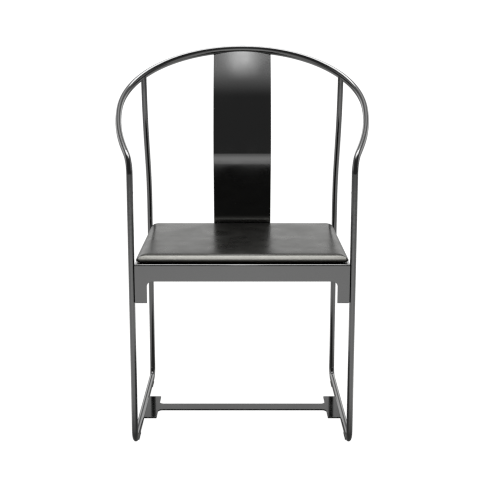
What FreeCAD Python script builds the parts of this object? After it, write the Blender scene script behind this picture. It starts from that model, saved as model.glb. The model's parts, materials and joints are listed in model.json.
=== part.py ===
import FreeCAD, Part
import math
import os

Vector = FreeCAD.Vector
Rotation = FreeCAD.Rotation
Placement = FreeCAD.Placement

# Driving dimensions of the armchair: lengths in millimetres, angles in degrees.
# A run is measured backwards from the plane of the front legs, a height up from the floor.
driving_sizes = (
    ("tube_breadth", 14.0, "oval tube across its short axis"),
    ("tube_depth", 20.0, "oval tube across its long axis"),
    ("tube_wall", 1.5, "wall of the oval tube"),
    ("leg_offset", 247.0, "middle of the chair to the axis of each leg"),
    ("side_run", 425.0, "axis of the front leg to the axis of the back leg"),
    ("runner_radius", 26.0, "axis of the bend between a leg and its runner"),
    ("glide_thickness", 1.5, "glide under the lowest line of a runner"),
    ("glide_breadth", 12.0, "glide across the runner"),
    ("glide_length", 36.0, "glide along the runner"),
    ("glide_lip", 3.0, "height that a glide's lips reach up the runner's sides"),
    ("glide_setback", 48.0, "leg axis to the middle of its glide"),
    ("neck_straight", 22.2, "straight end of the rail's neck, down to the seam with the front leg"),
    ("rail_height", 663.0, "rail's plane above the front legs"),
    ("rail_slope_angle", 27.4, "rise of the rail's plane towards the back"),
    ("rail_swell", 44.0, "axis of a leg out to the rail's axis where the horseshoe is widest"),
    ("rail_overhang", 28.4, "axis of the back legs back to the rail's axis at its middle"),
    ("arm_straight", 54.0, "straight end of each arm, up to the corner above the leg"),
    ("neck_radius", 46.0, "axis of the bend from the arm down into the leg"),
    ("post_bend_rise", 46.0, "top of the pan up to where the back post starts to lean"),
    ("post_lower_radius", 324.0, "lower curve of the back post"),
    ("post_lean_angle", 23.3, "greatest lean of the back post"),
    ("post_lean_run", 57.5, "straight stretch of the post at its greatest lean"),
    ("post_cope_depth", 3.0, "post's end below the axis of the rail it is coped to"),
    ("spigot_gap", 0.15, "clearance around the spigot in its tubes"),
    ("spigot_below", 40.0, "spigot's length in the front leg"),
    ("spigot_setback", 4.2, "bend of the rail's neck down to the top of the spigot"),
    ("grub_diameter", 5.0, "screw that locks the leg to its spigot"),
    ("grub_drop", 20.0, "seam down to the locking screw"),
    ("splat_width", 149.0, "back splat from side to side"),
    ("splat_thickness", 2.5, "sheet of the back splat"),
    ("splat_knee_setback", 53.0, "axis of the back legs forward to the splat's foremost point"),
    ("splat_knee_height", 629.5, "height of the splat's foremost point"),
    ("splat_knee_radius", 110.0, "soft knee of the splat"),
    ("splat_lean_angle", 7.9, "forward lean of the splat below its knee"),
    ("splat_knee_angle", 1.5, "backward lean of the splat just above its knee"),
    ("splat_foot_radius", 4.0, "middle of the sheet in the fold above the foot"),
    ("splat_foot_depth", 22.0, "flat foot behind the fold"),
    ("splat_bolt_diameter", 5.0, "screws through the splat's foot"),
    ("splat_bolt_spacing", 50.0, "between neighbouring screws of the splat's foot"),
    ("splat_bolt_length", 10.0, "splat's screw under its head"),
    ("splat_nut_height", 4.0, "nut under the pan"),
    ("pan_thickness", 2.5, "sheet of the seat pan and of its side aprons"),
    ("pan_height", 432.0, "top of the seat pan"),
    ("pan_overhang", 8.0, "leg axis out to the face of the front or back apron"),
    ("pan_side_gap", 0.3, "gap between the pan and the legs beside it"),
    ("fold_radius", 3.5, "outer radius of the fold between pan and apron"),
    ("apron_depth", 39.0, "top of the pan down to the apron's lower edge"),
    ("bracket_depth", 89.0, "top of the pan down to the end of a bracket"),
    ("bracket_width", 27.0, "bracket at each end of an apron"),
    ("bracket_fillet", 12.0, "round inner corner between apron and bracket"),
    ("bracket_corner", 3.0, "rounded lower corner of a bracket"),
    ("seat_bolt_diameter", 6.0, "screws that hold the seat to the legs"),
    ("seat_bolt_drop", 26.0, "top of the pan down to the upper seat screws"),
    ("seat_bolt_pitch", 42.0, "upper seat screws down to the lower ones"),
    ("bolt_clearance", 0.4, "hole wider than the screw that passes through it"),
    ("seat_bolt_length", 14.0, "seat screw under its head"),
    ("rivet_nut_diameter", 8.0, "threaded insert in the leg"),
    ("rivet_nut_length", 9.0, "threaded insert, from the face of the leg"),
    ("drill_overrun", 1.0, "start of a drilled hole outside the face of the leg"),
    ("stretcher_thickness", 3.5, "flat plate between the runners"),
    ("stretcher_run", 197.0, "front legs to the middle of the plate"),
    ("stretcher_depth", 35.0, "plate from front to back in its narrow middle"),
    ("flare_length", 132.0, "plate's end along the runner"),
    ("flare_width", 30.0, "plate's end measured out from the runner"),
    ("flare_fillet", 11.0, "round corner between the bar and its ends"),
    ("flare_corner", 2.0, "rounded outer corners of the plate's ends"),
    ("pad_front_run", 1.0, "front edge of the seat pad"),
    ("pad_back_gap", 10.4, "front of the splat's fold forward to the back edge of the seat pad"),
    ("pad_side_gap", 1.5, "gap between the pad and the legs beside it"),
    ("pad_corner", 9.0, "rounded corner of the seat pad"),
    ("pad_thickness", 15.3, "seat pad from its underside to its crown"),
    ("pad_border", 61.2, "side of the pad in to where its rounded border meets the flat crown"),
    ("pad_rest_gap", 0.3, "pan up to the grips under the pad"),
    ("grip_thickness", 0.9, "grip pad under the seat pad"),
    ("grip_diameter", 32.0, "grip pad under the seat pad"),
    ("cover_thickness", 1.2, "leather of the seat cover"),
    ("board_thickness", 4.0, "board in the bottom of the seat pad"),
    ("board_inset", 6.0, "side of the pad in to the edge of the board"),
)

os.makedirs("parts", exist_ok=True)
doc = FreeCAD.newDocument("horseshoe_back_armchair")
sheet = doc.addObject("Spreadsheet::Sheet", "Sizes")
for row, (alias, value, meaning) in enumerate(driving_sizes, 1):
    sheet.set("A%d" % row, meaning)
    sheet.set("B%d" % row, str(value))
    sheet.setAlias("B%d" % row, alias)
doc.recompute()


def size(alias):
    return float(sheet.get(alias))


# Directions of the frame: +X to the sitter's left, +Y to the back, +Z up
across = Vector(1, 0, 0)
backward = Vector(0, 1, 0)
upward = Vector(0, 0, 1)
quarter_turn = 90.0
half_turn = 180.0
sides = {"left": 1, "right": -1}

half_breadth = size("tube_breadth") / 2
half_depth = size("tube_depth") / 2
leg_offset = size("leg_offset")
runner_height = size("glide_thickness") + half_depth
inner_face = leg_offset - half_breadth

# Depth of the whole chair, so that the origin lies under the middle of its box
slope = math.radians(size("rail_slope_angle"))
rail_radius = leg_offset + size("rail_swell")
rail_back_slant = (size("side_run") + size("rail_overhang")) / math.cos(slope)
rail_back_reach = math.hypot(half_breadth * math.cos(slope), half_depth * math.sin(slope))
depth_middle = (rail_back_slant * math.cos(slope) + rail_back_reach - half_depth) / 2


def spot(offset, run, height):
    return Vector(offset, run - depth_middle, height)


def turned_by(angle):
    return Vector(math.cos(math.radians(angle)), math.sin(math.radians(angle)), 0)


# A flat line is traced as straight steps (length,) and round steps (radius, turn to the left).
# It can run beside the given one, moved to its left by the offset.
def trace(start, heading, steps, offset=0.0):
    point = start + turned_by(heading + quarter_turn) * offset
    pieces = []
    for step in steps:
        if len(step) == 1:
            following = point + turned_by(heading) * step[0]
            pieces.append(Part.LineSegment(point, following))
        else:
            radius, turn = step
            side = math.copysign(1, turn)
            radius -= side * offset
            centre = point + turned_by(heading + side * quarter_turn) * radius
            first = heading - side * quarter_turn
            last = first + turn
            following = centre + turned_by(last) * radius
            circle = Part.Circle(centre, upward, radius)
            low, high = sorted((math.radians(first), math.radians(last)))
            pieces.append(Part.ArcOfCircle(circle, low, high))
            heading += turn
        point = following
    return pieces, point, heading


# The two faces of a folded or curved sheet, closed at both ends
def sheet_outline(start, heading, steps, left_face, right_face):
    left, left_end, ending = trace(start, heading, steps, left_face)
    right, right_end, ending = trace(start, heading, steps, right_face)
    left_start = start + turned_by(heading + quarter_turn) * left_face
    right_start = start + turned_by(heading + quarter_turn) * right_face
    return left + right + [Part.LineSegment(left_start, right_start), Part.LineSegment(left_end, right_end)]


# A rectangle whose two upper corners are round
def arched_outline(start, width, rise, corner):
    steps = ((rise - corner,), (corner, -quarter_turn), (width - 2 * corner,), (corner, -quarter_turn),
             (rise - corner,), )
    pieces, end, heading = trace(start, quarter_turn, steps)
    return pieces + [Part.LineSegment(end, start)]


# The sliver that rounds off a lower corner; side is +1 where the plate lies to the left of the corner
def corner_outline(corner, side, radius):
    centre = corner + Vector(-side * radius, radius, 0)
    low = centre - Vector(0, radius, 0)
    out = centre + Vector(side * radius, 0, 0)
    first = -quarter_turn if side > 0 else half_turn
    arc = Part.ArcOfCircle(Part.Circle(centre, upward, radius), math.radians(first),
                           math.radians(first + quarter_turn))
    return [Part.LineSegment(corner, low), Part.LineSegment(corner, out), arc]


def add_sketch(body, name, role, pieces, lift=0.0):
    sketch = body.newObject("Sketcher::SketchObject", name)
    plane = [feature for feature in body.Origin.OriginFeatures if feature.Role == role][0]
    sketch.AttachmentSupport = [(plane, "")]
    sketch.MapMode = "FlatFace"
    sketch.AttachmentOffset = Placement(Vector(0, 0, lift), Rotation())
    sketch.addGeometry(pieces, False)
    sketch.detectMissingPointOnPointConstraints()
    sketch.makeMissingPointOnPointCoincident()
    return sketch


def add_body(name):
    return doc.addObject("PartDesign::Body", name)


def pad(body, name, sketch, length, midway=False):
    feature = body.newObject("PartDesign::Pad", name)
    feature.Profile = sketch
    feature.Midplane = midway
    feature.setExpression("Length", length)
    sketch.Visibility = False
    return feature


# Cuts to both sides of the sketch's plane, right through
def pocket(body, name, sketch):
    feature = body.newObject("PartDesign::Pocket", name)
    feature.Profile = sketch
    feature.Type = "ThroughAll"
    feature.Midplane = True
    sketch.Visibility = False
    return feature


def ellipse_at(centre, long_axis, short_axis, inset=0.0):
    long_point = centre + long_axis * (half_depth - inset)
    short_point = centre + short_axis * (half_breadth - inset)
    return Part.Wire(Part.Ellipse(long_point, short_point, centre).toShape())


def cylinder(name, diameter, length, centre, axis):
    rod = doc.addObject("Part::Cylinder", name)
    rod.setExpression("Radius", "(%s) / 2" % diameter)
    rod.setExpression("Height", length)
    rod.Placement = Placement(centre, Rotation(upward, axis))
    return rod


def fuse(name, pieces):
    joined = doc.addObject("Part::MultiFuse", name)
    joined.Shapes = pieces
    return joined


def group(name, pieces):
    compound = doc.addObject("Part::Compound", name)
    compound.Links = pieces
    return compound


# Takes the tools away one after the other
def cut(name, base, tools):
    for index, tool in enumerate(tools, 1):
        last = index == len(tools)
        result = doc.addObject("Part::Cut", name if last else "%s_before_%d" % (name, index))
        result.Base = base
        result.Tool = tool
        base = result
    return base


def feature_of(name, shape):
    feature = doc.addObject("Part::Feature", name)
    feature.Shape = shape
    feature.Placement = Placement()
    return feature


# Heads, sockets and nuts, as shares of the screw's diameter. A prism made here has its usual six sides.
head_breadth_share = 1.75
head_height_share = 0.55
socket_breadth_share = 0.38
socket_depth_share = 0.35
nut_breadth_share = 0.92
grub_socket_share = 0.25


# A button head with a hexagon socket above the seat, and the shank below it
def button_screw(name, diameter, length, seat, direction):
    shank = cylinder(name + "_shank", diameter, length, seat, direction)
    head = cylinder(name + "_head", "%s * %g" % (diameter, head_breadth_share),
                    "%s * %g" % (diameter, head_height_share), seat, -direction)
    socket = doc.addObject("Part::Prism", name + "_socket")
    socket.setExpression("Circumradius", "%s * %g" % (diameter, socket_breadth_share))
    socket.setExpression("Height", "%s * %g" % (diameter, socket_depth_share))
    top = seat - direction * size(diameter.split(".")[1]) * head_height_share
    socket.Placement = Placement(top, Rotation(upward, direction))
    return cut(name, fuse(name + "_blank", [shank, head]), [socket])


nodes = {}


def keep(label, item):
    item.Label = label
    nodes[label] = item
    return item


# Horseshoe rail: one oval tube, level with its own sloping plane round the back and the arms,
# with a neck at each end that turns down into the front leg.
# The arm's round stretch is tangent to the widest point of the back and to the arm's straight end.
rail_centre_slant = rail_back_slant - rail_radius
arm_reach = rail_centre_slant + size("arm_straight")
arm_corner_slant = (arm_reach ** 2 - size("rail_swell") ** 2) / (2 * arm_reach)
arm_turn = math.degrees(math.atan2(size("rail_swell"), arm_corner_slant))
arm_tangent = rail_centre_slant - arm_corner_slant
arm_radius = arm_tangent / math.tan(math.radians(arm_turn) / 2)

rail_plane = Placement(spot(0, 0, size("rail_height")), Rotation(across, size("rail_slope_angle")))
rail_normal = rail_plane.Rotation.multVec(upward)
neck_steps = 8


# Centres, long axes and short axes of the tube down one neck, from the arm to the leg,
# and how far along the arm the neck's bend starts from the corner above the leg
def neck_frames(side):
    heading = turned_by(-quarter_turn - arm_turn)
    into_neck = rail_plane.Rotation.multVec(Vector(side * heading.x, heading.y, 0))
    down = -upward
    turn = into_neck.getAngle(down)
    hinge = into_neck.cross(down).normalize()
    corner = spot(side * leg_offset, 0, size("rail_height"))
    tangent = size("neck_radius") * math.tan(turn / 2)
    start = corner - into_neck * tangent
    inwards = hinge.cross(into_neck).normalize()
    centre = start + inwards * size("neck_radius")
    full_swing = Rotation(hinge, math.degrees(turn))
    landed = full_swing.multVec(rail_normal)
    twist = math.degrees(landed.getAngle(-backward))
    twist *= math.copysign(1, landed.cross(-backward).dot(down))
    frames = []
    for step in range(neck_steps + 1):
        share = step / neck_steps
        swing = Rotation(hinge, math.degrees(turn) * share)
        along = swing.multVec(into_neck)
        eased_share = share * share * (3 - 2 * share)
        spin = Rotation(along, twist * eased_share)
        long_axis = spin.multVec(swing.multVec(rail_normal))
        frames.append((centre + swing.multVec(start - centre), long_axis, along.cross(long_axis)))
    return frames, tangent


neck_foot, neck_tangent = neck_frames(1)[0][-1][0], neck_frames(1)[1]
joint_height = neck_foot.z - size("neck_straight")


def rail_solid(inset):
    straight = size("arm_straight") - neck_tangent
    start = Vector(-leg_offset, 0, 0) + turned_by(quarter_turn + arm_turn) * neck_tangent
    round_back = (rail_radius, -quarter_turn)
    round_arm = (arm_radius, -arm_turn)
    steps = ((straight,), round_arm, round_back, round_back, round_arm, (straight,))
    pieces = trace(start, quarter_turn + arm_turn, steps)[0]
    path = Part.Wire([piece.toShape() for piece in pieces])
    section = ellipse_at(start, upward, turned_by(arm_turn), inset)
    solid = path.makePipeShell([section], True, False)
    solid.Placement = rail_plane
    for side in sides.values():
        frames = neck_frames(side)[0]
        neck = Part.makeLoft([ellipse_at(*frame, inset) for frame in frames], True, False)
        stub = Part.Face(ellipse_at(*frames[-1], inset)).extrude(-upward * size("neck_straight"))
        solid = solid.fuse([neck, stub])
    return solid


rail_skin = feature_of("rail_skin", rail_solid(0.0))
rail_bore = feature_of("rail_bore", rail_solid(size("tube_wall")))
rail_skin_shape = rail_skin.Shape.copy()
keep("horseshoe_rail", cut("rail_tube", rail_skin, [rail_bore]))

# Where the back post's axis meets the axis of the rail above it
post_meeting_slant = rail_centre_slant + math.sqrt(rail_radius ** 2 - leg_offset ** 2)
post_top_run = post_meeting_slant * math.cos(slope)
post_top_height = size("rail_height") + post_meeting_slant * math.sin(slope) - size("post_cope_depth")

# Spigots join the rail to the front legs, each locked by a grub screw from the inside
grub_height = joint_height - size("grub_drop")
for side_name, side in sides.items():
    outline = doc.addObject("Part::Ellipse", side_name + "_spigot_outline")
    outline.setExpression("MajorRadius", "Sizes.tube_depth / 2 - Sizes.tube_wall - Sizes.spigot_gap")
    outline.setExpression("MinorRadius", "Sizes.tube_breadth / 2 - Sizes.tube_wall - Sizes.spigot_gap")
    base = spot(side * leg_offset, 0, joint_height - size("spigot_below"))
    outline.Placement = Placement(base, Rotation(upward, quarter_turn))
    plug = doc.addObject("Part::Extrusion", side_name + "_spigot_blank")
    plug.Base = outline
    plug.Dir = upward
    plug.setExpression("LengthFwd", "Sizes.spigot_below + Sizes.neck_straight - Sizes.spigot_setback")
    plug.Solid = True
    entry = spot(side * inner_face, 0, grub_height)
    drill = cylinder(side_name + "_grub_hole", "Sizes.grub_diameter", "Sizes.tube_breadth / 2", entry,
                     across * side)
    keep(side_name + "_spigot", cut(side_name + "_spigot_plug", plug, [drill]))

grubs = []
for side_name, side in sides.items():
    entry = spot(side * inner_face, 0, grub_height)
    rod = cylinder(side_name + "_grub_rod", "Sizes.grub_diameter", "Sizes.tube_breadth / 2", entry,
                   across * side)
    socket = doc.addObject("Part::Prism", side_name + "_grub_socket")
    socket.setExpression("Circumradius", "Sizes.grub_diameter * %g" % grub_socket_share)
    socket.setExpression("Height", "Sizes.grub_diameter * %g" % grub_socket_share)
    socket.Placement = rod.Placement
    grubs.append(cut(side_name + "_grub", rod, [socket]))
keep("spigot_screws", group("spigot_screw_set", grubs))

# Leg frames: front leg, runner and back post bent from one tube, coped to the rail at the top
post_lean = math.radians(size("post_lean_angle"))
post_low_run = size("side_run") - size("post_lower_radius") * (1 - math.cos(post_lean))
post_low_run -= size("post_lean_run") * math.sin(post_lean)
post_bend_height = size("pan_height") + size("post_bend_rise")
post_low_height = post_bend_height + size("post_lower_radius") * math.sin(post_lean)
post_low_height += size("post_lean_run") * math.cos(post_lean)
post_chord = math.atan2(post_low_run - post_top_run, post_top_height - post_low_height)
post_unbend = 2 * (post_lean - post_chord)
post_upper_radius = abs((post_top_height - post_low_height) / (
    math.sin(post_lean) - math.sin(post_lean - post_unbend)))

seat_bolt_heights = [size("pan_height") - size("seat_bolt_drop")]
seat_bolt_heights.append(seat_bolt_heights[0] - size("seat_bolt_pitch"))
leg_runs = {"front": 0.0, "back": size("side_run")}


def leg_path():
    bend = (size("runner_radius"), quarter_turn)
    leg_foot = runner_height + size("runner_radius")
    steps = (
        (joint_height - leg_foot,), bend,
        (size("side_run") - 2 * size("runner_radius"),), bend,
        (post_bend_height - leg_foot,),
        (size("post_lower_radius"), size("post_lean_angle")),
        (size("post_lean_run"),),
        (post_upper_radius, -math.degrees(post_unbend)),
    )
    return trace(Vector(-depth_middle, joint_height, 0), -quarter_turn, steps)[0]


def leg_ellipse(inset):
    centre = Vector(0, -depth_middle, 0)
    long_point = centre + backward * (half_depth - inset)
    short_point = centre + across * (half_breadth - inset)
    return [Part.Ellipse(long_point, short_point, centre)]


def leg_body(name, inset):
    body = add_body(name)
    path = add_sketch(body, name + "_path", "YZ_Plane", leg_path())
    section = add_sketch(body, name + "_section", "XY_Plane", leg_ellipse(inset), joint_height)
    pipe = body.newObject("PartDesign::AdditivePipe", name + "_pipe")
    pipe.Profile = section
    pipe.Spine = (path, ["Edge%d" % (index + 1) for index in range(len(path.Geometry))])
    return body


def rivet_nut_place(side, run, height):
    return spot(side * inner_face, run, height)


leg_skins = {}
for side_name, side in sides.items():
    skin = leg_body(side_name + "_leg_skin", 0.0)
    bore = leg_body(side_name + "_leg_bore", size("tube_wall"))
    for body in (skin, bore):
        body.setExpression("Placement.Base.x", "%d * Sizes.leg_offset" % side)
    leg_skins[side_name] = skin
    cope = feature_of(side_name + "_cope", rail_skin_shape.copy())
    overrun = across * side * size("drill_overrun")
    drills = [cylinder(side_name + "_leg_grub_hole", "Sizes.grub_diameter",
                       "Sizes.tube_breadth / 2 + Sizes.drill_overrun",
                       spot(side * inner_face, 0, grub_height) - overrun, across * side)]
    for end_name, run in leg_runs.items():
        for index, height in enumerate(seat_bolt_heights):
            drills.append(cylinder("%s_%s_nut_hole_%d" % (side_name, end_name, index),
                                   "Sizes.rivet_nut_diameter", "Sizes.tube_breadth / 2 + Sizes.drill_overrun",
                                   rivet_nut_place(side, run, height) - overrun, across * side))
    drilling = group(side_name + "_leg_drills", drills)
    keep(side_name + "_leg_frame", cut(side_name + "_leg_tube", skin, [bore, cope, drilling]))

# Glides: saddles under each runner, with a flat sole on the floor
for side_name, side in sides.items():
    glide_runs = {"front": size("glide_setback"), "back": size("side_run") - size("glide_setback")}
    for end_name, run in glide_runs.items():
        block = doc.addObject("Part::Box", "%s_%s_glide_block" % (side_name, end_name))
        block.setExpression("Length", "Sizes.glide_breadth")
        block.setExpression("Width", "Sizes.glide_length")
        block.setExpression("Height", "Sizes.glide_thickness + Sizes.glide_lip")
        corner = spot(side * leg_offset - size("glide_breadth") / 2, run - size("glide_length") / 2, 0)
        block.Placement = Placement(corner, Rotation())
        name = "%s_%s_glide" % (end_name, side_name)
        keep(name, cut(name + "_saddle", block, [leg_skins[side_name]]))

# Back splat: one bent sheet from its foot on the seat pan up to the underside of the rail.
# Its top is trimmed along the rail's round axis, and coped to the rail.
splat_top_run = rail_back_slant * math.cos(slope)
splat_top_height = size("rail_height") + rail_back_slant * math.sin(slope)

knee_radius = size("splat_knee_radius")
low_lean = math.radians(size("splat_lean_angle"))
high_lean = math.radians(size("splat_knee_angle"))
knee_run = size("side_run") - size("splat_knee_setback")
knee_low_run = knee_run + knee_radius * (1 - math.cos(low_lean))
knee_low_height = size("splat_knee_height") - knee_radius * math.sin(low_lean)
knee_high_run = knee_run + knee_radius * (1 - math.cos(high_lean))
knee_high_height = size("splat_knee_height") + knee_radius * math.sin(high_lean)
splat_chord = math.atan2(splat_top_run - knee_high_run, splat_top_height - knee_high_height)
splat_bend = 2 * (splat_chord - high_lean)
splat_radius = (splat_top_height - knee_high_height) / (
    math.sin(high_lean + splat_bend) - math.sin(high_lean))

half_sheet = size("splat_thickness") / 2
fold_turn = quarter_turn - size("splat_lean_angle")
foot_height = size("pan_height") + half_sheet
foot_radius = size("splat_foot_radius")
fold_rise = foot_radius * (1 - math.sin(low_lean))
splat_straight = (knee_low_height - foot_height - fold_rise) / math.cos(low_lean)
fold_run = knee_low_run + splat_straight * math.sin(low_lean) + foot_radius * math.cos(low_lean)
foot_back_run = fold_run + size("splat_foot_depth")

splat_body = add_body("splat_sheet")
splat_steps = (
    (size("splat_foot_depth"),), (foot_radius, -fold_turn), (splat_straight,),
    (knee_radius, -size("splat_lean_angle") - size("splat_knee_angle")),
    (splat_radius, -math.degrees(splat_bend)),
)
splat_start = Vector(foot_back_run - depth_middle, foot_height, 0)
splat_outline = sheet_outline(splat_start, half_turn, splat_steps, half_sheet, -half_sheet)
splat_profile = add_sketch(splat_body, "splat_profile", "YZ_Plane", splat_outline)
pad(splat_body, "splat_pad", splat_profile, "Sizes.splat_width", True)

splat_bolt_run = foot_back_run - size("splat_foot_depth") / 2
splat_bolt_offsets = [step * size("splat_bolt_spacing") for step in (-1, 0, 1)]
splat_hole_radius = (size("splat_bolt_diameter") + size("bolt_clearance")) / 2
splat_holes = []
for offset in splat_bolt_offsets:
    centre = Vector(offset, splat_bolt_run - depth_middle, 0)
    splat_holes.append(Part.Circle(centre, upward, splat_hole_radius))
foot_drills = []
for index, offset in enumerate(splat_bolt_offsets):
    foot_drills.append(cylinder("splat_drill_%d" % index, "Sizes.splat_bolt_diameter + Sizes.bolt_clearance",
                                "Sizes.splat_thickness", spot(offset, splat_bolt_run, size("pan_height")),
                                upward))
trim_base = rail_plane.multVec(Vector(0, rail_centre_slant, 0)) - rail_normal * half_depth
trim_discs = []
for name, radius in (("splat_trim_disc", rail_radius + size("splat_width")), ("splat_trim_core", rail_radius)):
    disc = doc.addObject("Part::Cylinder", name)
    disc.Radius = radius
    disc.Height = size("tube_depth")
    disc.Placement = Placement(trim_base, rail_plane.Rotation)
    trim_discs.append(disc)
splat_trim = cut("splat_trim", trim_discs[0], trim_discs[1:])
splat_cope = feature_of("splat_cope", rail_skin_shape.copy())
keep("back_splat", cut("splat_coped", splat_body, [splat_trim, splat_cope, group("splat_drills", foot_drills)]))

# Screws and nuts of the splat's foot
screws = []
nuts = []
for index, offset in enumerate(splat_bolt_offsets):
    seat = spot(offset, splat_bolt_run, size("pan_height") + size("splat_thickness"))
    screws.append(button_screw("splat_screw_%d" % index, "Sizes.splat_bolt_diameter",
                               "Sizes.splat_bolt_length", seat, -upward))
    nut_blank = doc.addObject("Part::Prism", "splat_nut_blank_%d" % index)
    nut_blank.setExpression("Circumradius", "Sizes.splat_bolt_diameter * %g" % nut_breadth_share)
    nut_blank.setExpression("Height", "Sizes.splat_nut_height")
    nut_top = spot(offset, splat_bolt_run, size("pan_height") - size("pan_thickness"))
    nut_blank.Placement = Placement(nut_top, Rotation(upward, -upward))
    nut_bore = cylinder("splat_nut_bore_%d" % index, "Sizes.splat_bolt_diameter", "Sizes.splat_nut_height",
                        nut_top, -upward)
    nuts.append(cut("splat_nut_%d" % index, nut_blank, [nut_bore]))
keep("splat_screws", group("splat_screw_set", screws))
keep("splat_nuts", group("splat_nut_set", nuts))

# Seat pan: one sheet folded down into a front and a back apron with brackets beside the legs
pan_half_width = inner_face - size("pan_side_gap")
pan_front_run = -size("pan_overhang")
pan_back_run = size("side_run") + size("pan_overhang")
pan_underside = size("pan_height") - size("pan_thickness")
bracket_bottom = size("pan_height") - size("bracket_depth")
apron_bottom = size("pan_height") - size("apron_depth")

pan_body = add_body("pan_sheet")
pan_fold = (size("fold_radius"), -quarter_turn)
pan_drop = size("bracket_depth") - size("fold_radius")
pan_span = pan_back_run - pan_front_run - 2 * size("fold_radius")
pan_start = Vector(pan_front_run - depth_middle, bracket_bottom, 0)
pan_steps = ((pan_drop,), pan_fold, (pan_span,), pan_fold, (pan_drop,))
pan_outline = sheet_outline(pan_start, quarter_turn, pan_steps, 0.0, -size("pan_thickness"))
pan_profile = add_sketch(pan_body, "pan_profile", "YZ_Plane", pan_outline)
pad(pan_body, "pan_pad", pan_profile,
    "2 * (Sizes.leg_offset - Sizes.tube_breadth / 2 - Sizes.pan_side_gap)", True)
window_half = pan_half_width - size("bracket_width")
window_rise = size("bracket_depth") - size("apron_depth")
window = arched_outline(Vector(-window_half, bracket_bottom, 0), 2 * window_half, window_rise,
                        size("bracket_fillet"))
for side in sides.values():
    window += corner_outline(Vector(side * pan_half_width, bracket_bottom, 0), side, size("bracket_corner"))
pocket(pan_body, "pan_window", add_sketch(pan_body, "pan_window_outline", "XZ_Plane", window))
pocket(pan_body, "pan_holes", add_sketch(pan_body, "pan_hole_circles", "XY_Plane", splat_holes))
keep("seat_pan", pan_body)

# Side aprons: flat sheets welded under the pan between its front and back aprons.
# Their upper corners are as round as the pan's folds are outside, which keeps them clear of the folds.
side_front_run = pan_front_run + size("pan_thickness")
side_back_run = pan_back_run - size("pan_thickness")
for side_name, side in sides.items():
    body = add_body(side_name + "_apron_sheet")
    low_front = Vector(side_front_run - depth_middle, bracket_bottom, 0)
    side_length = side_back_run - side_front_run
    plate = arched_outline(low_front, side_length, pan_underside - bracket_bottom, size("fold_radius"))
    pad(body, side_name + "_apron_pad", add_sketch(body, side_name + "_apron_plate", "YZ_Plane", plate),
        "Sizes.pan_thickness")
    opening_start = low_front + Vector(size("bracket_width"), 0, 0)
    opening = arched_outline(opening_start, side_length - 2 * size("bracket_width"), window_rise,
                             size("bracket_fillet"))
    for run in leg_runs.values():
        for height in seat_bolt_heights:
            hole_radius = (size("seat_bolt_diameter") + size("bolt_clearance")) / 2
            opening.append(Part.Circle(Vector(run - depth_middle, height, 0), upward, hole_radius))
    pocket(body, side_name + "_apron_window",
           add_sketch(body, side_name + "_apron_opening", "YZ_Plane", opening))
    inner_edge = pan_half_width - size("pan_thickness")
    body.Placement = Placement(Vector(inner_edge if side > 0 else -pan_half_width, 0, 0), Rotation())
    keep(side_name + "_side_apron", body)

# Seat screws through the side aprons into rivet nuts in the four legs
seat_screws = []
rivet_nuts = []
for side_name, side in sides.items():
    for end_name, run in leg_runs.items():
        for index, height in enumerate(seat_bolt_heights):
            name = "%s_%s_%d" % (side_name, end_name, index)
            seat = spot(side * (pan_half_width - size("pan_thickness")), run, height)
            seat_screws.append(button_screw("seat_screw_" + name, "Sizes.seat_bolt_diameter",
                                            "Sizes.seat_bolt_length", seat, across * side))
            place = rivet_nut_place(side, run, height)
            shell = cylinder("rivet_shell_" + name, "Sizes.rivet_nut_diameter", "Sizes.rivet_nut_length",
                             place, across * side)
            thread = cylinder("rivet_thread_" + name, "Sizes.seat_bolt_diameter", "Sizes.seat_bolt_length",
                              seat, across * side)
            rivet_nuts.append(cut("rivet_nut_" + name, shell, [thread]))
keep("seat_screws", group("seat_screw_set", seat_screws))
keep("rivet_nuts", group("rivet_nut_set", rivet_nuts))

# Lower stretcher: a flat plate between the runners whose ends flare along them
stretcher = add_body("stretcher_plate")
corner = size("flare_corner")
flare_rise = (size("flare_length") - size("stretcher_depth")) / 2 - corner - size("flare_fillet")
flare_edge = (size("flare_width") - 2 * corner,)
bar_length = 2 * (inner_face - size("flare_width") - size("flare_fillet"))
outward = (corner, quarter_turn)
inward = (size("flare_fillet"), -quarter_turn)
half_round = (
    (size("flare_length") - 2 * corner,), outward, flare_edge, outward, (flare_rise,), inward,
    (bar_length,), inward, (flare_rise,), outward, flare_edge, outward,
)
plate_start = spot(inner_face, size("stretcher_run") - size("flare_length") / 2 + corner, 0)
plate_outline = trace(plate_start, quarter_turn, half_round + half_round)[0]
pad(stretcher, "stretcher_pad", add_sketch(stretcher, "stretcher_outline", "XY_Plane", plate_outline),
    "Sizes.stretcher_thickness")
stretcher.setExpression("Placement.Base.z",
                        "Sizes.glide_thickness + (Sizes.tube_depth - Sizes.stretcher_thickness) / 2")
keep("lower_stretcher", stretcher)

# Seat pad: a thin crowned cushion, drawn in at its base and rounded over at its border.
# Each level has a share of the pad's thickness for its height and of its border for its distance in.
pad_half_width = inner_face - size("pad_side_gap")
pad_bottom = size("pan_height") + size("pad_rest_gap") + size("grip_thickness")
pad_back_run = fold_run - foot_radius - half_sheet - size("pad_back_gap")
pad_level_shares = ((0.0, 0.04), (0.25, 0.0), (0.55, 0.025), (0.8, 0.15), (0.93, 0.425), (1.0, 1.0))


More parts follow.
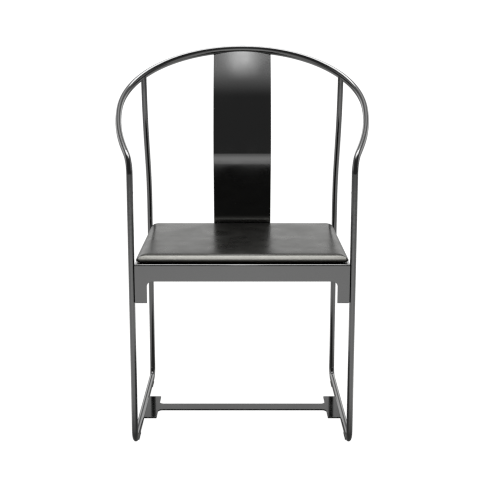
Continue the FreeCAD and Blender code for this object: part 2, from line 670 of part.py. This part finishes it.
def pad_form(name, skin):
    sections = []
    for index, (rise_share, inset_share) in enumerate(pad_level_shares):
        inset = inset_share * size("pad_border") + skin
        corner_radius = size("pad_corner") + inset_share * size("pad_border")
        half_width = pad_half_width - inset
        front = size("pad_front_run") + inset - depth_middle
        back = pad_back_run - inset - depth_middle
        bend = (corner_radius, quarter_turn)
        width_step = (2 * (half_width - corner_radius),)
        depth_step = (back - front - 2 * corner_radius,)
        start = Vector(-half_width + corner_radius, front, 0)
        pieces = trace(start, 0.0, (width_step, bend, depth_step, bend) * 2)[0]
        sketch = doc.addObject("Sketcher::SketchObject", "%s_level_%d" % (name, index))
        sketch.addGeometry(pieces, False)
        sketch.detectMissingPointOnPointConstraints()
        sketch.makeMissingPointOnPointCoincident()
        lift = pad_bottom + skin + rise_share * (size("pad_thickness") - 2 * skin)
        sketch.Placement = Placement(Vector(0, 0, lift), Rotation())
        sections.append(sketch)
    loft = doc.addObject("Part::Loft", name)
    loft.Sections = sections
    loft.Solid = True
    loft.Ruled = True
    return loft


pad_outside = pad_form("pad_outside", 0.0)
pad_inside = pad_form("pad_inside", size("cover_thickness"))
board = doc.addObject("Part::Box", "pad_board")
board.setExpression("Length", "2 * (Sizes.leg_offset - Sizes.tube_breadth / 2 - Sizes.pad_side_gap"
                    " - Sizes.board_inset)")
board.Width = pad_back_run - size("pad_front_run") - 2 * size("board_inset")
board.setExpression("Height", "Sizes.board_thickness")
board_corner = spot(-pad_half_width + size("board_inset"), size("pad_front_run") + size("board_inset"),
                    pad_bottom + size("cover_thickness"))
board.Placement = Placement(board_corner, Rotation())
keep("seat_cover", cut("cover_shell", pad_outside, [pad_inside]))
keep("seat_foam", cut("foam_block", pad_inside, [board]))
keep("seat_board", board)

grips = []
grip_inset = size("grip_diameter") + size("board_inset")
for side in sides.values():
    for run in (size("pad_front_run") + grip_inset, pad_back_run - grip_inset):
        place = spot(side * (pad_half_width - grip_inset), run, pad_bottom - size("grip_thickness"))
        grips.append(cylinder("grip_%d" % len(grips), "Sizes.grip_diameter", "Sizes.grip_thickness", place,
                              upward))
keep("grip_pads", group("grip_pad_set", grips))

doc.recompute()
failed = [item.Name for item in doc.Objects if "Invalid" in item.State or "Error" in item.State]
if failed:
    raise RuntimeError("failed objects: " + ", ".join(failed))
for label, item in nodes.items():
    shape = item.Shape
    if shape.isNull() or not shape.isValid():
        raise RuntimeError(label + " has no valid shape")
    box = shape.BoundBox
    print("%-20s solids %2d volume %10.1f  x %7.1f..%7.1f  y %7.1f..%7.1f  z %6.1f..%6.1f" % (
        label, len(shape.Solids), shape.Volume, box.XMin, box.XMax, box.YMin, box.YMax, box.ZMin, box.ZMax))
    shape.exportStep("parts/%s.step" % label)
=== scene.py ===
import json
import math

import bpy
import numpy as np
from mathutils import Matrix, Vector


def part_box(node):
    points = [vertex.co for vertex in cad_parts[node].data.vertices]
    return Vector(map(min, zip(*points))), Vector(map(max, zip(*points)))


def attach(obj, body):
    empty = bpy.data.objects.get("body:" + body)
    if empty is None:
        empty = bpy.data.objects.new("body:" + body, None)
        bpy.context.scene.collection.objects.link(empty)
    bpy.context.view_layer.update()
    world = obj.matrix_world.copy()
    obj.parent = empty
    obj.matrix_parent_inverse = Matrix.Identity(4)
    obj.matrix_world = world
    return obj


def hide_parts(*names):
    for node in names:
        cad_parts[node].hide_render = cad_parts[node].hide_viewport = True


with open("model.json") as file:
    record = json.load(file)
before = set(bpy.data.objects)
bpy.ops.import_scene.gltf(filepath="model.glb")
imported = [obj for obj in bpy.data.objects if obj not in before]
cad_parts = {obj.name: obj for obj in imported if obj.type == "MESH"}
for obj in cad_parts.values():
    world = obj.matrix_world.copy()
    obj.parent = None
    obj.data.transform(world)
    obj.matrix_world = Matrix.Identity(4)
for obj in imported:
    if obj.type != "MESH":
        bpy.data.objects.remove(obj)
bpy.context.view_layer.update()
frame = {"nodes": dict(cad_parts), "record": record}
print("frame loaded:", len(frame["nodes"]), "CAD nodes")

mm = 0.001


# sRGB hex to linear colour: c/12.92 below the knee, ((c + 0.055)/1.055)^2.4 above it
def linearColour(hexCode):
    c = np.array([int(hexCode[i:i + 2], 16) for i in (1, 3, 5)]) / 255
    c = np.where(c <= 0.04045, c / 12.92, ((c + 0.055) / 1.055) ** 2.4)
    return (*c.tolist(), 1.0)


# links inputs of a node to their sources; a node given as a source stands for its first output
def link(tree, node, sources):
    for name, source in dict(sources).items():
        tree.links.new(getattr(source, "outputs", [source])[0], node.inputs[name])


# adds a node to a tree, with its properties, sockets, ramp stops and sources
def addNode(tree, kind, settings=(), sources=()):
    node = tree.nodes.new("ShaderNode" + kind)
    for name, value in dict(settings).items():
        if name == "stops":
            for element, (position, colour) in zip(node.color_ramp.elements, value):
                element.position, element.color = position, linearColour(colour)
        elif isinstance(name, int) or name in node.inputs:
            node.inputs[name].default_value = value
        else:
            setattr(node, name, value)
    link(tree, node, sources)
    return node


# a new material: its node tree, its shader with the given sockets, and the object coordinates
def startMaterial(name, sockets):
    material = bpy.data.materials.new(name)
    material.use_nodes = True
    tree = material.node_tree
    shader = tree.nodes["Principled BSDF"]
    for socket, value in sockets.items():
        shader.inputs[socket].default_value = value
    where = addNode(tree, "TexCoord").outputs["Object"]
    return material, tree, shader, where


# Anthracite lacquer on bent steel, sprayed and stoved: nearly black and mirror-like, with a faint
# orange peel and a few duller patches where hands and cloths have rubbed it
lacquer = {
    "colour": "#040505", "darkerColour": "#020202",
    "ior": 1.75, "coat": 1.0, "coatRoughness": 0.05,
    "glossiest": 0.07, "dullest": 0.15,
    "patchSize": 70 * mm, "patchDetail": 3.0, "patchStart": 0.35, "patchEnd": 0.7,
    "peelSize": 3.5 * mm, "peelDetail": 1.0, "peelDepth": 0.02 * mm, "peelStrength": 0.35,
    "edgeRadius": 0.5 * mm, "edgeSamples": 6,
}


def makeLacquer(softEdges):
    name = "stovedAnthraciteLacquer" + ("OnSheet" if softEdges else "OnTube")
    material, tree, shader, where = startMaterial(name, {
        "IOR": lacquer["ior"], "Coat Weight": lacquer["coat"],
        "Coat Roughness": lacquer["coatRoughness"]})
    patches = addNode(tree, "TexNoise", {
        "Scale": 1 / lacquer["patchSize"], "Detail": lacquer["patchDetail"]}, {"Vector": where})
    dull = addNode(tree, "MapRange", {
        "From Min": lacquer["patchStart"], "From Max": lacquer["patchEnd"],
        "To Min": lacquer["glossiest"], "To Max": lacquer["dullest"]}, {"Value": patches})
    tone = addNode(tree, "ValToRGB", {
        "stops": ((0.0, lacquer["darkerColour"]), (1.0, lacquer["colour"]))}, {"Fac": patches})
    peel = addNode(tree, "TexNoise", {
        "Scale": 1 / lacquer["peelSize"], "Detail": lacquer["peelDetail"]}, {"Vector": where})
    bump = addNode(tree, "Bump", {
        "Strength": lacquer["peelStrength"], "Distance": lacquer["peelDepth"]}, {"Height": peel})
    if softEdges:
        edge = addNode(tree, "Bevel", {
            "samples": lacquer["edgeSamples"], "Radius": lacquer["edgeRadius"]})
        link(tree, bump, {"Normal": edge})
    link(tree, shader, {
        "Base Color": tone, "Roughness": dull, "Normal": bump, "Coat Normal": bump})
    return material


# Zinc-plated turned steel, only seen if the joint is opened: fine turning rings round the plug.
# A wave texture of scale 1 has a band every 0.314 m.
turnedSteel = {
    "colour": "#8d8f91", "smoothest": 0.24, "roughest": 0.4,
    "ringPitch": 0.8 * mm, "bandAtScaleOne": 0.314, "waver": 0.3,
    "ringDepth": 0.01 * mm, "ringStrength": 0.4,
}


def makeTurnedSteel():
    material, tree, shader, where = startMaterial("zincPlatedTurnedSteel", {
        "Base Color": linearColour(turnedSteel["colour"]), "Metallic": 1.0})
    rings = addNode(tree, "TexWave", {
        "bands_direction": "Z", "Distortion": turnedSteel["waver"],
        "Scale": turnedSteel["bandAtScaleOne"] / turnedSteel["ringPitch"]}, {"Vector": where})
    rough = addNode(tree, "MapRange", {
        "To Min": turnedSteel["smoothest"], "To Max": turnedSteel["roughest"]},
        {"Value": rings.outputs["Fac"]})
    bump = addNode(tree, "Bump", {
        "Strength": turnedSteel["ringStrength"], "Distance": turnedSteel["ringDepth"]},
        {"Height": rings.outputs["Fac"]})
    link(tree, shader, {"Roughness": rough, "Normal": bump})
    return material


# Black-oxide steel of screws and nuts: oily black with paler, rubbed spots
oxideSteel = {
    "colour": "#1b1c1e", "rubbedColour": "#3c3d40", "roughness": 0.38,
    "spotSize": 2.0 * mm, "spotDetail": 4.0, "spotStart": 0.45, "spotEnd": 0.75,
    "spotDepth": 0.01 * mm, "spotStrength": 0.2,
}


def makeOxideSteel():
    material, tree, shader, where = startMaterial("blackOxideSteel", {
        "Metallic": 1.0, "Roughness": oxideSteel["roughness"]})
    spots = addNode(tree, "TexNoise", {
        "Scale": 1 / oxideSteel["spotSize"], "Detail": oxideSteel["spotDetail"]}, {"Vector": where})
    tone = addNode(tree, "ValToRGB", {
        "stops": ((oxideSteel["spotStart"], oxideSteel["colour"]),
                  (oxideSteel["spotEnd"], oxideSteel["rubbedColour"]))}, {"Fac": spots})
    bump = addNode(tree, "Bump", {
        "Strength": oxideSteel["spotStrength"], "Distance": oxideSteel["spotDepth"]},
        {"Height": spots})
    link(tree, shader, {"Base Color": tone, "Normal": bump})
    return material


# Moulded black polyamide of the glides: satin, with a fine spark-eroded grain
polyamide = {
    "colour": "#121212", "ior": 1.53, "smoothest": 0.4, "roughest": 0.62,
    "grainSize": 0.6 * mm, "grainDetail": 2.0, "grainDepth": 0.03 * mm, "grainStrength": 0.5,
}


def makePolyamide():
    material, tree, shader, where = startMaterial("mouldedBlackPolyamide", {
        "Base Color": linearColour(polyamide["colour"]), "IOR": polyamide["ior"]})
    grain = addNode(tree, "TexNoise", {
        "Scale": 1 / polyamide["grainSize"], "Detail": polyamide["grainDetail"]},
        {"Vector": where})
    rough = addNode(tree, "MapRange", {
        "To Min": polyamide["smoothest"], "To Max": polyamide["roughest"]}, {"Value": grain})
    bump = addNode(tree, "Bump", {
        "Strength": polyamide["grainStrength"], "Distance": polyamide["grainDepth"]},
        {"Height": grain})
    link(tree, shader, {"Roughness": rough, "Normal": bump})
    return material


# Smooth full-grain calf leather, dyed through and waxed: nearly black, with a slightly warm sheen
# at a low angle, and pebbled grain drawn about twice as coarse as the real 0.6 mm so that it shows
leather = {
    "colour": "#050504", "wornColour": "#0c0b0a", "wornStart": 0.35, "wornEnd": 0.8,
    "waxTint": (1.0, 0.99, 0.92, 1.0), "ior": 1.85,
    "waxed": 0.25, "dry": 0.34, "dryStart": 0.3, "dryEnd": 0.7,
    "cloudSize": 55 * mm, "cloudDetail": 4.0,
    "grainSize": 1.3 * mm, "grainSoftness": 0.6, "grainScatter": 0.95,
    "grainDepth": 0.05 * mm, "grainStrength": 0.3,
    "creaseSize": 11 * mm, "creaseDetail": 5.0, "creaseWarp": 1.2,
    "creaseDepth": 0.06 * mm, "creaseStrength": 0.25,
}


def makeLeather():
    material, tree, shader, where = startMaterial("waxedBlackCalfLeather", {
        "IOR": leather["ior"], "Specular Tint": leather["waxTint"]})
    clouds = addNode(tree, "TexNoise", {
        "Scale": 1 / leather["cloudSize"], "Detail": leather["cloudDetail"]}, {"Vector": where})
    tone = addNode(tree, "ValToRGB", {
        "stops": ((leather["wornStart"], leather["colour"]),
                  (leather["wornEnd"], leather["wornColour"]))}, {"Fac": clouds})
    rough = addNode(tree, "MapRange", {
        "From Min": leather["dryStart"], "From Max": leather["dryEnd"],
        "To Min": leather["waxed"], "To Max": leather["dry"]}, {"Value": clouds})
    pebbles = addNode(tree, "TexVoronoi", {
        "feature": "SMOOTH_F1", "Scale": 1 / leather["grainSize"],
        "Smoothness": leather["grainSoftness"], "Randomness": leather["grainScatter"]},
        {"Vector": where})
    creases = addNode(tree, "TexNoise", {
        "Scale": 1 / leather["creaseSize"], "Detail": leather["creaseDetail"],
        "Distortion": leather["creaseWarp"]}, {"Vector": where})
    wide = addNode(tree, "Bump", {
        "Strength": leather["creaseStrength"], "Distance": leather["creaseDepth"]},
        {"Height": creases})
    fine = addNode(tree, "Bump", {
        "Strength": leather["grainStrength"], "Distance": leather["grainDepth"]},
        {"Height": pebbles, "Normal": wide})
    link(tree, shader, {"Base Color": tone, "Roughness": rough, "Normal": fine})
    return material


# Open-cell polyurethane foam inside the pad: cream, matt, full of small pores drawn darker as
# painted shade
foam = {
    "colour": "#d8d0b6", "shadedPoreColour": "#a89f84", "poreEdge": 0.5, "roughness": 0.95, "ior": 1.45,
    "poreSize": 1.6 * mm, "poreDepth": 0.4 * mm, "poreStrength": 0.7,
}


def makeFoam():
    material, tree, shader, where = startMaterial("openCellFoam", {
        "Roughness": foam["roughness"], "IOR": foam["ior"]})
    pores = addNode(tree, "TexVoronoi", {"Scale": 1 / foam["poreSize"]}, {"Vector": where})
    # painted shade: the colour darkens towards the middle of each pore, where the bump is lowest
    tone = addNode(tree, "ValToRGB", {
        "stops": ((0.0, foam["shadedPoreColour"]), (foam["poreEdge"], foam["colour"]))}, {"Fac": pores})
    bump = addNode(tree, "Bump", {
        "Strength": foam["poreStrength"], "Distance": foam["poreDepth"]}, {"Height": pores})
    link(tree, shader, {"Base Color": tone, "Normal": bump})
    return material


# Rotary-cut birch plywood of the board: pale, with long wavy grain across the seat
plywood = {
    "paleColour": "#d6b98d", "darkColour": "#b08a5b", "darkEnd": 0.35, "paleStart": 0.65,
    "roughness": 0.55, "ior": 1.5,
    "grainWidth": 5 * mm, "stretch": 0.07, "grainDetail": 6.0, "grainWarp": 0.6,
    "grainDepth": 0.05 * mm, "grainStrength": 0.3,
}


def makePlywood():
    material, tree, shader, where = startMaterial("rotaryCutBirchPlywood", {
        "Roughness": plywood["roughness"], "IOR": plywood["ior"]})
    drawn = addNode(tree, "Mapping", {"Scale": (plywood["stretch"], 1, 1)}, {"Vector": where})
    grain = addNode(tree, "TexNoise", {
        "Scale": 1 / plywood["grainWidth"], "Detail": plywood["grainDetail"],
        "Distortion": plywood["grainWarp"]}, {"Vector": drawn})
    tone = addNode(tree, "ValToRGB", {
        "stops": ((plywood["darkEnd"], plywood["darkColour"]),
                  (plywood["paleStart"], plywood["paleColour"]))}, {"Fac": grain})
    bump = addNode(tree, "Bump", {
        "Strength": plywood["grainStrength"], "Distance": plywood["grainDepth"]},
        {"Height": grain})
    link(tree, shader, {"Base Color": tone, "Normal": bump})
    return material


# Die-cut silicone rubber of the grips: matt charcoal with a dusty bloom
silicone = {
    "colour": "#1d1d1e", "bloomColour": "#343434", "roughness": 0.7, "ior": 1.43,
    "bloomSize": 6 * mm, "bloomDetail": 5.0, "bloomDepth": 0.05 * mm, "bloomStrength": 0.2,
}


def makeSilicone():
    material, tree, shader, where = startMaterial("dieCutSiliconeRubber", {
        "Roughness": silicone["roughness"], "IOR": silicone["ior"]})
    bloom = addNode(tree, "TexNoise", {
        "Scale": 1 / silicone["bloomSize"], "Detail": silicone["bloomDetail"]}, {"Vector": where})
    tone = addNode(tree, "ValToRGB", {
        "stops": ((0.0, silicone["colour"]), (1.0, silicone["bloomColour"]))}, {"Fac": bloom})
    bump = addNode(tree, "Bump", {
        "Strength": silicone["bloomStrength"], "Distance": silicone["bloomDepth"]},
        {"Height": bloom})
    link(tree, shader, {"Base Color": tone, "Normal": bump})
    return material


tubeLacquer, sheetLacquer = makeLacquer(False), makeLacquer(True)
finishes = {
    "bare_steel": makeTurnedSteel(), "fastener_steel": makeOxideSteel(),
    "glide_plastic": makePolyamide(), "cover_leather": makeLeather(), "pad_foam": makeFoam(),
    "board_wood": makePlywood(), "grip_rubber": makeSilicone(), "frame_paint": tubeLacquer,
}
sheetNodes = ("back_splat", "seat_pan", "left_side_apron", "right_side_apron", "lower_stretcher")
for part in frame["record"]["subparts"]:
    node = frame["nodes"][part["node"]]
    finish = sheetLacquer if part["node"] in sheetNodes else finishes[part["material_slot"]]
    node.data.materials.clear()
    node.data.materials.append(finish)
print("finishes given to the CAD nodes")

# Seat pad: a thin leather cushion with a bevelled border, a nearly flat top and drawn-in sides
lowest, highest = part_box("seat_cover")
pad = {
    "halfWidth": (highest.x - lowest.x) / 2, "halfDepth": (highest.y - lowest.y) / 2,
    "middle": ((highest.x + lowest.x) / 2, (highest.y + lowest.y) / 2), "bottom": lowest.z,
    "corner": 9 * mm,
    "equator": 4.8 * mm,                                # widest line above the underside
    "tuckWidth": 7.2 * mm,                              # drawn-in side in from the widest line
    "rollRise": 1.6 * mm, "rollWidth": 0.5 * mm,        # tight roll at the widest line
    "bevelSlope": 0.82, "bevelRise": 10.5 * mm, "bevelPower": 5.0,
    "cell": 6 * mm, "borderTurns": range(12, 91, 13),   # turns in degrees
    "pressure": 0.05, "cap": 1.2 * mm, "frames": 20, "quality": 6, "mass": 0.3,
    "stiffness": 25, "bending": 2, "heldHeight": 0.1 * mm,
}


# Grid lines from the middle to an edge at half: even cells, then lines bunched towards the edge
# where a quarter circle as wide as the border stands at the listed turns, border (1 - sin turn)
def bunchedLines(half, cell, border):
    flat = np.linspace(0, half - border, max(2, round((half - border) / cell)) + 1)
    edge = half - border * (1 - np.sin(np.radians(pad["borderTurns"])))
    side = np.unique(np.concatenate([flat, edge, [half]]))
    return np.concatenate([-side[:0:-1], side])


# Height of the top over the widest line at inset d: a tight roll, rise (1 - exp(-d/width)), plus
# a straight line s d that levels off at its own rise, s d / (1 + (s d / rise)^power)^(1/power)
def crownHeight(inset):
    roll = pad["rollRise"] * (1 - np.exp(-inset / pad["rollWidth"]))
    line = pad["bevelSlope"] * inset
    power = pad["bevelPower"]
    return roll + line / (1 + (line / pad["bevelRise"]) ** power) ** (1 / power)


# Closed pad: a square grid whose corner cells are pressed onto a quarter circle,
# v -> v max|v| / |v|, carried once over the crown and once under the pad at the height
# equator (1 - inset / tuckWidth)^2, both sheets joined along the widest line
def padMesh():
    a, b, r = pad["halfWidth"], pad["halfDepth"], pad["corner"]
    x, y = np.meshgrid(bunchedLines(a, pad["cell"], r), bunchedLines(b, pad["cell"], r))
    inset = np.minimum(a - np.abs(x), b - np.abs(y))
    cx, cy = np.clip(x, -(a - r), a - r), np.clip(y, -(b - r), b - r)
    vx, vy = x - cx, y - cy
    length = np.hypot(vx, vy)
    longest = np.maximum(np.abs(vx), np.abs(vy))
    shrink = np.where(length > 0, longest / np.where(length > 0, length, 1), 1)
    x, y = cx + vx * shrink, cy + vy * shrink
    top = pad["bottom"] + pad["equator"] + crownHeight(inset)
    tuck = np.clip(inset / pad["tuckWidth"], 0, 1)
    under = pad["bottom"] + pad["equator"] * (1 - tuck) ** 2
    upper = np.stack([x, y, top], -1).reshape(-1, 3)
    lower = np.stack([x, y, under], -1).reshape(-1, 3)
    index = np.arange(inset.size).reshape(inset.shape)
    quads = np.stack([index[:-1, :-1], index[:-1, 1:], index[1:, 1:], index[1:, :-1]], -1)
    quads = quads.reshape(-1, 4)
    rim = np.isclose(inset, 0).reshape(-1)
    fold = np.arange(inset.size) + np.where(rim, 0, inset.size)
    points = np.concatenate([upper, lower]) + np.array([*pad["middle"], 0])
    faces = np.concatenate([quads, fold[quads][:, ::-1]])
    used, faces = np.unique(faces, return_inverse=True)
    return points[used], faces.reshape(-1, 4)


def makePad():
    points, faces = padMesh()
    mesh = bpy.data.meshes.new("padCover")
    mesh.from_pydata(points.tolist(), [], faces.tolist())
    mesh.update()
    mesh.shade_smooth()
    cover = bpy.data.objects.new("padCover", mesh)
    bpy.context.scene.collection.objects.link(cover)
    cover.data.materials.append(finishes["cover_leather"])
    print("pad:", len(points), "points")
    inflate(cover)
    soften = cover.modifiers.new("soften", "SUBSURF")
    soften.levels = soften.render_levels = 1
    return cover


# one vector attribute of a mesh's points, one row per point
def vectors(items, attribute):
    values = np.empty(len(items) * 3)
    items.foreach_get(attribute, values)
    return values.reshape(-1, 3)


# Cloth under air pressure, its flat underside held; each point then moves outwards only, along
# its own normal n by min(max(move . n, 0), cap), so that the foam stays covered
def inflate(cover):
    mesh = cover.data
    before = vectors(mesh.vertices, "co")
    outwards = vectors(mesh.vertex_normals, "vector")
    held = cover.vertex_groups.new(name="held")
    flat = np.nonzero(before[:, 2] < pad["bottom"] + pad["heldHeight"])[0]
    held.add(flat.tolist(), 1.0, "REPLACE")
    cloth = cover.modifiers.new("inflate", "CLOTH")
    cloth.settings.quality = pad["quality"]
    cloth.settings.mass = pad["mass"]
    cloth.settings.tension_stiffness = cloth.settings.compression_stiffness = pad["stiffness"]
    cloth.settings.bending_stiffness = pad["bending"]
    cloth.settings.use_pressure = True
    cloth.settings.uniform_pressure_force = pad["pressure"]
    cloth.settings.effector_weights.gravity = 0
    cloth.settings.vertex_group_mass = "held"
    cloth.collision_settings.use_collision = False
    scene = bpy.context.scene
    for number in range(1, pad["frames"] + 1):
        scene.frame_set(number)
    shape = cover.evaluated_get(bpy.context.evaluated_depsgraph_get())
    moved = vectors(shape.data.vertices, "co") - before
    move = (moved * outwards).sum(axis=1, keepdims=True)
    print("pad: cloth moved %.2f to %.2f mm outwards" % (move.min() / mm, move.max() / mm))
    after = before + outwards * np.clip(move, 0, pad["cap"])
    after[:, 2] = np.maximum(after[:, 2], pad["bottom"])
    cover.modifiers.remove(cloth)
    mesh.vertices.foreach_set("co", after.reshape(-1))
    mesh.update()
    scene.frame_set(1)


cover = makePad()
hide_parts("seat_cover")
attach(cover, "seat_pad")
print("pad in place")

# Floor: a wide disc that the camera sees as white. In reflections its glow is a painted pool of
# light, brightest in front of the chair, with a painted shadow under it, where the chair would keep
# the light off.
ground = {
    "colour": "#5c5c5a", "roughness": 0.9, "specular": 0.1,
    "radius": 7.0, "rings": 40, "ringPower": 1.5, "spokes": 72,
    "farGlow": 0.17, "nearGlow": 1.1, "nearRadius": 2.0, "nearPlace": (0.0, -1.7, 0.0),
    "shadeHalf": (0.22, 0.18, 0.0), "shadeEdge": 0.35, "shadeShare": 0.08, "seenGlow": 1.0,
}


# Disc grid: radius grows as share^power over the rings, the angle evenly over the spokes. Its
# painted glow is near / (1 + (distance / nearRadius)^2) + far, a painted pool of light, times a
# smooth step of the distance out of the rectangle of painted shadow, max(|x| - half x, |y| - half
# y)
def makeFloor():
    radius = ground["radius"] * np.linspace(0, 1, ground["rings"] + 1)[1:] ** ground["ringPower"]
    angle = np.linspace(0, 2 * np.pi, ground["spokes"], endpoint=False)
    x, y = radius[:, None] * np.cos(angle), radius[:, None] * np.sin(angle)
    points = np.concatenate([[[0, 0, 0]], np.stack([x, y, 0 * x], -1).reshape(-1, 3)])
    index = 1 + np.arange(x.size).reshape(x.shape)
    turned = np.roll(index, -1, 1)
    quads = np.stack([index[:-1], index[1:], turned[1:], turned[:-1]], -1).reshape(-1, 4)
    middle = np.stack([np.zeros_like(index[0]), index[0], turned[0]], -1)
    mesh = bpy.data.meshes.new("studioFloor")
    mesh.from_pydata(points.tolist(), [], middle.tolist() + quads.tolist())
    mesh.update()
    floor = bpy.data.objects.new("studioFloor", mesh)
    bpy.context.scene.collection.objects.link(floor)
    material, tree, shader, where = startMaterial("paintedStudioFloor", {
        "Base Color": linearColour(ground["colour"]), "Roughness": ground["roughness"],
        "Specular IOR Level": ground["specular"], "Emission Color": (1, 1, 1, 1)})
    # painted pool of light: the glow is brightest round nearPlace, in front of the chair
    far = addNode(tree, "VectorMath", {"operation": "DISTANCE", 1: ground["nearPlace"]}, {0: where})
    spread = addNode(tree, "Math", {"operation": "DIVIDE", 1: ground["nearRadius"]},
                     {0: far.outputs["Value"]})
    square = addNode(tree, "Math", {"operation": "POWER", 1: 2.0}, {0: spread})
    more = addNode(tree, "Math", {"operation": "ADD", 1: 1.0}, {0: square})
    near = addNode(tree, "Math", {"operation": "DIVIDE", 0: ground["nearGlow"]}, {1: more})
    glow = addNode(tree, "Math", {"operation": "ADD", 1: ground["farGlow"]}, {0: near})
    reach = addNode(tree, "VectorMath", {"operation": "ABSOLUTE"}, {0: where})
    past = addNode(tree, "VectorMath", {"operation": "SUBTRACT", 1: ground["shadeHalf"]},
                   {0: reach})
    sides = addNode(tree, "SeparateXYZ", (), {0: past})
    edge = addNode(tree, "Math", {"operation": "MAXIMUM"},
                   {0: sides.outputs["X"], 1: sides.outputs["Y"]})
    # painted shadow of the chair: the glow falls to shadeShare inside the rectangle under it
    lit = addNode(tree, "MapRange", {
        "interpolation_type": "SMOOTHSTEP", "From Min": 0.0, "From Max": ground["shadeEdge"],
        "To Min": ground["shadeShare"], "To Max": 1.0}, {"Value": edge})
    shaded = addNode(tree, "Math", {"operation": "MULTIPLY"}, {0: glow, 1: lit})
    eye = addNode(tree, "LightPath").outputs["Is Camera Ray"]
    seen = addNode(tree, "Mix", {"data_type": "FLOAT", 3: ground["seenGlow"]},
                   {0: eye, 2: shaded})
    link(tree, shader, {"Emission Strength": seen})
    floor.data.materials.append(material)


# Studio round the chair, as a world. Heights are the z of a direction, sides its |x| / z, and
# every pair says where a smooth step starts and ends.
studio = {
    "wallStart": (-0.3, 0.5), "wallGlow": 1.0, "wallFoot": (-0.05, 0.05), "footShare": 0.3,
    "wallTop": (0.23, 0.4), "gapGlow": 0.4, "ceiling": (0.7, 0.85), "ceilingGlow": 0.9,
    "roomGlow": 0.13, "riseFront": (0.52, 0.8), "riseSide": (0.15, 0.4), "riseGlow": 0.8,
    "glareFront": (0.66, 0.86), "glareSide": (0.0, 0.026), "glareGlow": 4.8,
    "leastHeight": 0.05, "seenGlow": 1.15,
}


# Behind the chair: a pale wall with a dimmer gap over it and a paler ceiling,
# wall * foot + ceiling. In front: a dark room with a soft rise and a narrow glare,
# room + rise * its side + glare * its side
def makeStudio():
    world = bpy.data.worlds.new("softStudio")
    bpy.context.scene.world = world
    world.use_nodes = True
    tree = world.node_tree
    background = tree.nodes["Background"]
    background.inputs["Color"].default_value = (1, 1, 1, 1)
    axes = addNode(tree, "SeparateXYZ", (), {
        "Vector": addNode(tree, "TexCoord").outputs["Generated"]})
    depth, height = axes.outputs["Y"], axes.outputs["Z"]
    above = addNode(tree, "Math", {"operation": "MAXIMUM", 1: studio["leastHeight"]}, {0: height})
    slant = addNode(tree, "Math", {"operation": "DIVIDE"}, {0: axes.outputs["X"], 1: above})
    across = addNode(tree, "Math", {"operation": "ABSOLUTE"}, {0: slant})
    steps = {
        "wall": (height, studio["wallTop"], studio["wallGlow"], studio["gapGlow"]),
        "foot": (height, studio["wallFoot"], studio["footShare"], 1.0),
        "ceiling": (height, studio["ceiling"], 0.0, studio["ceilingGlow"]),
        "rise": (height, studio["riseFront"], 0.0, studio["riseGlow"]),
        "riseSide": (across, studio["riseSide"], 1.0, 0.0),
        "glare": (height, studio["glareFront"], 0.0, studio["glareGlow"]),
        "glareSide": (across, studio["glareSide"], 1.0, 0.0),
        "behind": (depth, studio["wallStart"], 0.0, 1.0),
    }
    step = {name: addNode(tree, "MapRange", {
        "interpolation_type": "SMOOTHSTEP", "From Min": start, "From Max": end,
        "To Min": before, "To Max": after}, {"Value": value})
        for name, (value, (start, end), before, after) in steps.items()}
    footed = addNode(tree, "Math", {"operation": "MULTIPLY"}, {0: step["wall"], 1: step["foot"]})
    wall = addNode(tree, "Math", {"operation": "ADD"}, {0: footed, 1: step["ceiling"]})
    rise = addNode(tree, "Math", {"operation": "MULTIPLY"}, {0: step["rise"], 1: step["riseSide"]})
    glare = addNode(tree, "Math", {"operation": "MULTIPLY"},
                    {0: step["glare"], 1: step["glareSide"]})
    front = addNode(tree, "Math", {"operation": "ADD"}, {0: rise, 1: glare})
    room = addNode(tree, "Math", {"operation": "ADD", 1: studio["roomGlow"]}, {0: front})
    around = addNode(tree, "Mix", {"data_type": "FLOAT"}, {0: step["behind"], 2: room, 3: wall})
    eye = addNode(tree, "LightPath").outputs["Is Camera Ray"]
    seen = addNode(tree, "Mix", {"data_type": "FLOAT", 3: studio["seenGlow"]},
                   {0: eye, 2: around})
    link(tree, background, {"Strength": seen})


# Soft box overhead, facing down
softBox = {"size": (3.6, 1.45), "glow": 5.8, "place": (0.0, 0.28, 3.2)}


# Rectangular lamp whose power is glow * pi * area
def makeSoftBox():
    light = bpy.data.lights.new("softBox", "AREA")
    light.shape = "RECTANGLE"
    light.size, light.size_y = softBox["size"]
    light.energy = softBox["glow"] * math.pi * light.size * light.size_y
    holder = bpy.data.objects.new("softBox", light)
    holder.location = softBox["place"]
    holder.visible_camera = False
    bpy.context.scene.collection.objects.link(holder)


makeFloor()
makeStudio()
makeSoftBox()
print("studio ready")

# Camera at the photograph's viewing angle, in front and a little above, looking down
camera = {
    "lens": 68.58, "sensor": 36.0, "place": (0.0, -2.207, 0.927), "pitch": 10.14,
    "shiftAcross": -0.0046, "shiftUp": -0.08, "pixelFilter": 1.25,
}
lens = bpy.data.cameras.new("photoCamera")
lens.lens, lens.sensor_width = camera["lens"], camera["sensor"]
lens.shift_x, lens.shift_y = camera["shiftAcross"], camera["shiftUp"]
viewer = bpy.data.objects.new("photoCamera", lens)
viewer.location = camera["place"]
viewer.rotation_euler = (math.radians(90 - camera["pitch"]), 0, 0)
bpy.context.scene.collection.objects.link(viewer)
bpy.context.scene.camera = viewer
bpy.context.scene.view_settings.view_transform = "Standard"
bpy.context.scene.cycles.filter_width = camera["pixelFilter"]
print("camera set")
